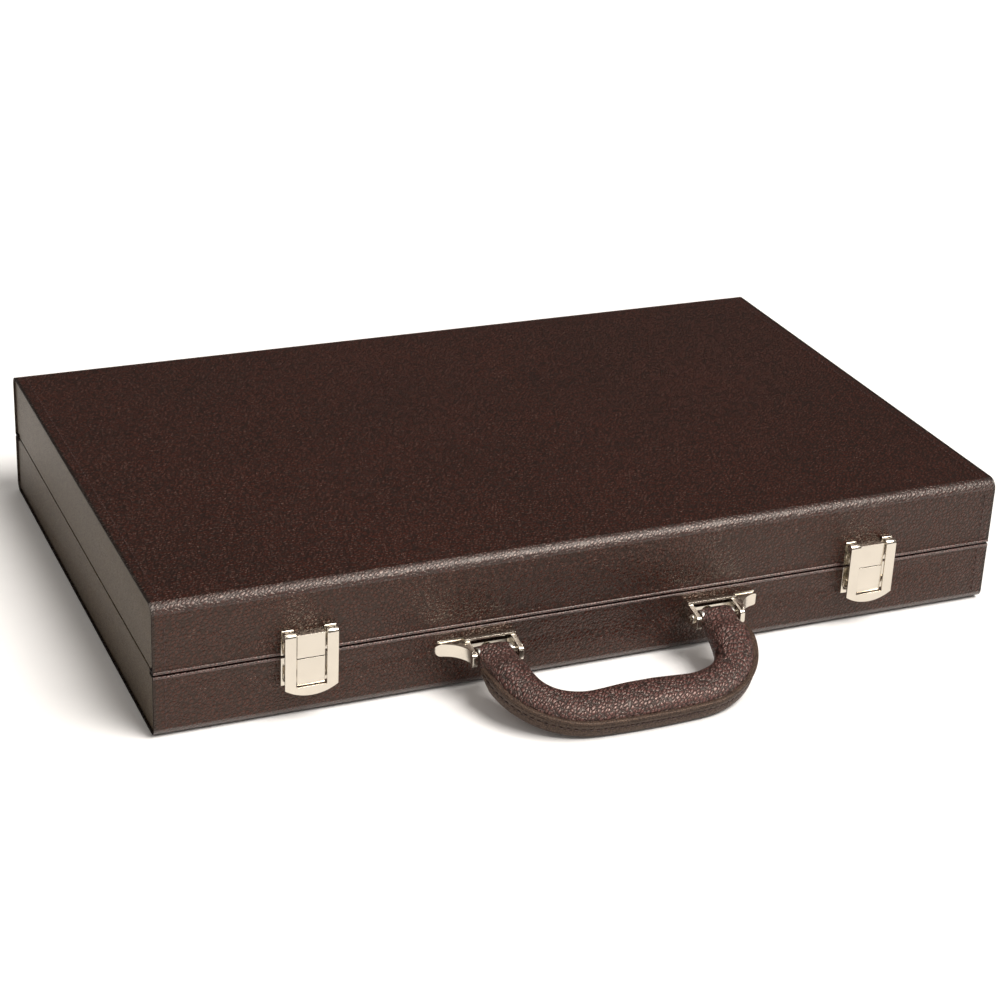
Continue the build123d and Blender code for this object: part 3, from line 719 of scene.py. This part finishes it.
class CHIPCASE_OT_stage(bpy.types.Operator):
    """Pale floor, soft lights and the camera"""

    bl_idname = "chip_case.stage"
    bl_label = "Stage"

    def execute(self, context):
        bpy.ops.object.select_all(action="DESELECT")
        bpy.ops.mesh.primitive_plane_add(size=16, location=(0, 2, 0))
        floor = named("floor")
        floor.data.materials.append(paper_floor("paper_floor"))
        world = context.scene.world or bpy.data.worlds.new("studio")
        context.scene.world = world
        world.use_nodes = True
        sky = world.node_tree.nodes["Background"]
        sky.inputs["Color"].default_value = SKY_COLOUR
        sky.inputs["Strength"].default_value = SKY_STRENGTH
        for name, towards, strength, spread in LIGHTS:
            bpy.ops.object.select_all(action="DESELECT")
            bpy.ops.object.light_add(type="SUN", location=Vector(towards) * 3)
            lamp = context.object
            lamp.name = name
            lamp.data.energy = strength
            lamp.data.angle = math.radians(spread)
            lamp.data.color = LIGHT_COLOUR
            lamp.rotation_euler = Vector(towards).to_track_quat("Z", "Y").to_euler()
        context.scene.view_settings.view_transform = "Standard"
        azimuth, elevation, roll = (math.radians(angle) for angle in CAMERA_TURN)
        behind = Vector((
            math.sin(azimuth) * math.cos(elevation),
            -math.cos(azimuth) * math.cos(elevation),
            math.sin(elevation),
        ))
        level = Vector((math.cos(azimuth), math.sin(azimuth), 0))
        upright = behind.cross(level)
        right = math.cos(roll) * level + math.sin(roll) * upright
        top = math.cos(roll) * upright - math.sin(roll) * level
        eye = CAMERA_TARGET + behind * CAMERA_DISTANCE
        data = bpy.data.cameras.new("camera")
        data.lens = settings().camera_lens
        data.sensor_width = 36
        data.clip_start = 0.01
        camera = bpy.data.objects.new("camera", data)
        context.scene.collection.objects.link(camera)
        camera.matrix_world = Matrix((
            (right.x, top.x, behind.x, eye.x),
            (right.y, top.y, behind.y, eye.y),
            (right.z, top.z, behind.z, eye.z),
            (0, 0, 0, 1),
        ))
        context.scene.camera = camera
        return {"FINISHED"}


class CHIPCASE_OT_boards(bpy.types.Operator):
    """Fibreboard boxes under the leather"""

    bl_idname = "chip_case.boards"
    bl_label = "Boards"

    def execute(self, context):
        for node, slot in SLOT_OF.items():
            if slot == "fibreboard":
                cad = frame["nodes"][node]
                cad.data.materials.clear()
                cad.data.materials.append(finish(slot))
        return {"FINISHED"}


class CHIPCASE_OT_leather(bpy.types.Operator):
    """Leather wraps, end panels and the cover under the base"""

    bl_idname = "chip_case.leather"
    bl_label = "Leather covers"
    bead = 0.0008

    def rim_bead(self, name, body, height):
        """A rolled rim along the front and back of one cover."""
        parts = []
        for number, y in enumerate((FRONT + 0.0001, BACK - 0.0001)):
            bpy.ops.object.select_all(action="DESELECT")
            bpy.ops.mesh.primitive_cylinder_add(
                vertices=20, radius=self.bead, depth=2 * HALF_WIDTH - 0.0004,
                location=(0, y, height), rotation=(0, math.pi / 2, 0),
            )
            bead = named(f"{name}_{number}")
            add_modifier(
                bead, "BEVEL", width=0.0003, segments=3, limit_method="ANGLE",
                angle_limit=math.radians(60),
            )
            parts.append(bead)
        beads = joined(name, parts)
        smooth(beads, 50)
        # Painted highlight: the beads take the lighter rim colour to stand in for the glint
        # along the seam.
        settle(beads, body, finish("rim_highlight_leather"), "case_leather")

    def execute(self, context):
        for shell in ("base", "lid"):
            wrap = dressed(shell + "_wrap", 0.0005, 3)
            wrap.data.materials.append(finish("painted_edge_shade"))
            wrap.data.materials.append(finish("worn_leather"))
            for face in wrap.data.polygons:
                # Painted shade: the lip's cut edge gets a dark, dull finish standing in for
                # the shade of the groove beside the end panel.
                if abs(face.center.x) > CUT_EDGE:
                    face.material_index = 1
                elif min(abs(face.normal.y), abs(face.normal.z)) > 0.08:
                    face.material_index = 2
            for side in ("left", "right"):
                dressed(shell + "_" + side + "_end_panel", 0.0003, 2)
        dressed("base_bottom_cover", 0.0002, 2)
        for name, body, height in (
            ("base_rim_bead", "base", BASE_HIGH.z - self.bead),
            ("lid_rim_bead", "lid", LID_RIM + self.bead),
        ):
            self.rim_bead(name, body, height)
        return {"FINISHED"}


class CHIPCASE_OT_stitching(bpy.types.Operator):
    """Stitched seams beside the ends of the lid and base"""

    bl_idname = "chip_case.stitching"
    bl_label = "Stitching"

    def execute(self, context):
        seam = HALF_WIDTH - settings().stitch_inset
        low = BASE_LOW.z + 0.0055
        rim = BASE_HIGH.z - 0.0012
        lid_low = LID_RIM + 0.0012
        lid_high = LID_TOP - CORNER_CLEAR
        for shell, rows in (
            ("lid", (
                ((FRONT + CORNER_CLEAR, LID_TOP), (BACK - CORNER_CLEAR, LID_TOP)),
                ((FRONT, lid_low), (FRONT, lid_high)),
                ((BACK, lid_low), (BACK, lid_high)),
            )),
            ("base", (
                ((FRONT, low), (FRONT, rim)),
                ((BACK, low), (BACK, rim)),
            )),
        ):
            parts = []
            for side in (-1, 1):
                for number, ((y0, z0), (y1, z1)) in enumerate(rows):
                    start = Vector((side * seam, y0, z0))
                    end = Vector((side * seam, y1, z1))
                    parts.append(stitch_row(f"{shell}_row_{side}_{number}", start, end))
            seamwork = joined(shell + "_stitching", parts)
            smooth(seamwork, 60)
            settle(seamwork, shell, finish("thread"), "case_leather")
        return {"FINISHED"}


class CHIPCASE_OT_lining(bpy.types.Operator):
    """Suede wall linings and the chip insert"""

    bl_idname = "chip_case.lining"
    bl_label = "Lining and insert"

    def execute(self, context):
        for node, slot in SLOT_OF.items():
            if slot == "lining_suede":
                dressed(node, 0.0002, 1)
            elif slot == "insert_suede":
                dressed(node, 0.0007, 3)
        return {"FINISHED"}


class CHIPCASE_OT_lid_pad(bpy.types.Operator):
    """Quilted velvet pad under the lid"""

    bl_idname = "chip_case.lid_pad"
    bl_label = "Lid pad"

    def execute(self, context):
        low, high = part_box("lid_pad")
        middle = (low + high) / 2
        half = (high - low) / 2
        bpy.ops.object.select_all(action="DESELECT")
        bpy.ops.mesh.primitive_grid_add(
            x_subdivisions=150, y_subdivisions=98, size=2, location=(0, 0, 0)
        )
        pad = named("lid_pad_quilted")
        quilt, tuck, rim = 0.062, 0.0035, 0.011
        for point in pad.data.vertices:
            across, deep = point.co.x, point.co.y
            x, y = across * half.x, deep * half.y
            edge = min(half.x - abs(x), half.y - abs(y))
            roll = min(1.0, edge / rim)
            body = math.sqrt(max(0.0, 1 - (1 - roll) ** 2))
            first = math.sin(math.pi * (x + y) / quilt)
            second = math.sin(math.pi * (x - y) / quilt)
            puff = min(1.0, abs(first) * 1.6) ** 0.6 * min(1.0, abs(second) * 1.6) ** 0.6
            inner = eased(edge, 0.010, 0.020)
            depth = (2 * half.z - tuck) * body + inner * (tuck * puff - 0.0005)
            point.co = Vector((middle.x + x, middle.y + y, high.z - depth))
        pad.data.update()
        closed(pad)
        smooth(pad, 50)
        settle(pad, "lid", finish("pad_velvet"), "pad_velvet", "lid_pad")
        return {"FINISHED"}


class CHIPCASE_OT_latches(bpy.types.Operator):
    """Latch plates, flaps, pins and rivets"""

    bl_idname = "chip_case.latches"
    bl_label = "Latches"

    def execute(self, context):
        for side in ("left", "right"):
            dressed(side + "_latch_lid_plate", 0.00025, 3)
            dressed(side + "_latch_base_plate", 0.00022, 3)
            dressed(side + "_latch_flap", 0.00012, 2)
        for node in ("latch_pins", "latch_base_rivets", "latch_lid_rivets"):
            dressed(node, 0.00015, 2)
        return {"FINISHED"}


class CHIPCASE_OT_handle_mounts(bpy.types.Operator):
    """Handle brackets with their pins, rivets and screws"""

    bl_idname = "chip_case.handle_mounts"
    bl_label = "Handle brackets"

    def execute(self, context):
        for side in ("left", "right"):
            dressed(side + "_handle_bracket", 0.0004, 3)
        dressed("handle_pins", 0.0004, 3)
        for node in ("bracket_rivets", "bracket_screws"):
            dressed(node, 0.0003, 2)
        return {"FINISHED"}


class CHIPCASE_OT_handle(bpy.types.Operator):
    """Padded leather grip with its stitched edge band and steel core"""

    bl_idname = "chip_case.handle"
    bl_label = "Handle"

    def grip_surface(self, u, v):
        """A point on the padded grip."""
        path = grip_path(u)
        x, forward = path[:2]
        root = eased(forward, NECK * 0.6, LEG_ROOT)
        front = front_share(x, forward)
        bend = math.exp(-(((abs(x) - 0.0523) / 0.011) ** 2)) * eased(forward, 0.020, 0.036)
        swell = settings().grip_swell * front - 0.0017 * bend
        outer = GRIP_EYE + (HALF_GRIP - GRIP_EYE) * root
        inner = GRIP_EYE + (INNER_GRIP - GRIP_EYE) * root + swell
        wrap = math.sqrt(max(0.03, 1 - (min(0.0, forward) / LEG_END) ** 2))
        high = (EYE_RISE + (TOP_RISE - EYE_RISE) * root + 0.0010 * front) * wrap
        low = (EYE_RISE + (UNDER_RISE - EYE_RISE) * root) * wrap
        angle = 2 * math.pi * v
        across, rise = math.cos(angle), math.sin(angle)
        power = 0.74 if across > 0 else 0.92
        wide = outer if across > 0 else inner
        tall = high if rise > 0 else low
        offset = wide * math.copysign(abs(across) ** power, across)
        lift = tall * math.copysign(abs(rise) ** 0.9, rise) + 0.0004 * root
        return beside_path(path, offset, lift)

    def band_surface(self, u, v):
        """A point on the flat edge band round the outside of the grip."""
        start = 0.078
        half = settings().band_height / 2
        pipe = half - 0.0009
        outline = (
            (-0.0018, -half + 0.0010), (0.0000, -half + 0.0002), (0.0010, -half),
            (0.0014, -half + 0.0005), (0.0015, -half + 0.0012), (0.0015, -0.0011),
            (0.0013, -0.0007), (0.0011, 0.0), (0.0013, 0.0007), (0.0015, 0.0011),
            (0.0015, pipe - 0.0016), (0.0010, pipe - 0.0010), (0.0014, pipe - 0.0008),
            (0.0019, pipe - 0.0004), (0.0021, pipe), (0.0019, pipe + 0.0005),
            (0.0013, pipe + 0.0009), (0.0004, pipe + 0.0008), (-0.0018, pipe + 0.0002),
        )
        spot = outline[int(round(v * len(outline))) % len(outline)]
        taper = min(1.0, 0.35 + 12 * min(u, 1 - u))
        path = grip_path(start + u * (1 - 2 * start))
        return beside_path(path, HALF_GRIP - 0.0004 + spot[0], spot[1] * taper)

    def execute(self, context):
        stations = settings().grip_stations
        grip = skin_of_rings("handle_grip", stations, 40, self.grip_surface)
        smooth(grip, 60)
        settle(grip, "handle", finish("handle_leather"), "handle_leather", "handle_padding")
        band = skin_of_rings("handle_band", 2 * stations, 19, self.band_surface)
        smooth(band, 50)
        settle(band, "handle", finish("band_leather"), "handle_leather", "handle_edge_band")
        dressed("handle_core", 0.0002, 2)
        parts = []
        for number in range(BAND_STITCHES):
            path = grip_path(0.1 + 0.8 * number / (BAND_STITCHES - 1))
            place = beside_path(path, HALF_GRIP + 0.0011, 0.0)
            along = (Vector((path[2], 0, 0)) + FORWARD * path[3]).normalized()
            parts.append(
                one_stitch(f"band_stitch_{number}", place, along, 0.0007, 0.0024)
            )
        stitching = joined("handle_stitching", parts)
        smooth(stitching, 60)
        settle(stitching, "handle", finish("thread"), "handle_leather")
        return {"FINISHED"}


class CHIPCASE_OT_hinges(bpy.types.Operator):
    """Back hinges with their pins and screws"""

    bl_idname = "chip_case.hinges"
    bl_label = "Back hinges"

    def execute(self, context):
        for node in SLOT_OF:
            if node.startswith("hinge_"):
                dressed(node, 0.00015, 2)
        return {"FINISHED"}


class CHIPCASE_OT_stays(bpy.types.Operator):
    """Folding lid stays"""

    bl_idname = "chip_case.stays"
    bl_label = "Lid stays"

    def execute(self, context):
        for node in SLOT_OF:
            if "stay_" in node:
                dressed(node, 0.0002, 2)
        return {"FINISHED"}


OPERATORS = (
    CHIPCASE_OT_stage,
    CHIPCASE_OT_boards,
    CHIPCASE_OT_leather,
    CHIPCASE_OT_stitching,
    CHIPCASE_OT_lining,
    CHIPCASE_OT_lid_pad,
    CHIPCASE_OT_latches,
    CHIPCASE_OT_handle_mounts,
    CHIPCASE_OT_handle,
    CHIPCASE_OT_hinges,
    CHIPCASE_OT_stays,
)


class CHIPCASE_PT_panel(bpy.types.Panel):
    """Settings and steps of the chip case"""

    bl_label = "Chip case"
    bl_idname = "CHIPCASE_PT_panel"
    bl_space_type = "VIEW_3D"
    bl_region_type = "UI"
    bl_category = "Chip case"

    def draw(self, context):
        column = self.layout.column()
        for key in ChipCaseSettings.__annotations__:
            column.prop(context.scene.chip_case, key)
        for operator in OPERATORS:
            column.operator(operator.bl_idname)


def register():
    """Register the settings, the operators and the panel."""
    for item in (ChipCaseSettings, *OPERATORS, CHIPCASE_PT_panel):
        bpy.utils.register_class(item)
    bpy.types.Scene.chip_case = PointerProperty(type=ChipCaseSettings)


def unregister():
    """Take them away again."""
    del bpy.types.Scene.chip_case
    for item in (CHIPCASE_PT_panel, *reversed(OPERATORS), ChipCaseSettings):
        bpy.utils.unregister_class(item)


def main():
    """Build every piece in order."""
    register()
    for operator in OPERATORS:
        group, step = operator.bl_idname.split(".")
        getattr(getattr(bpy.ops, group), step)()


if __name__ == "__main__":
    main()
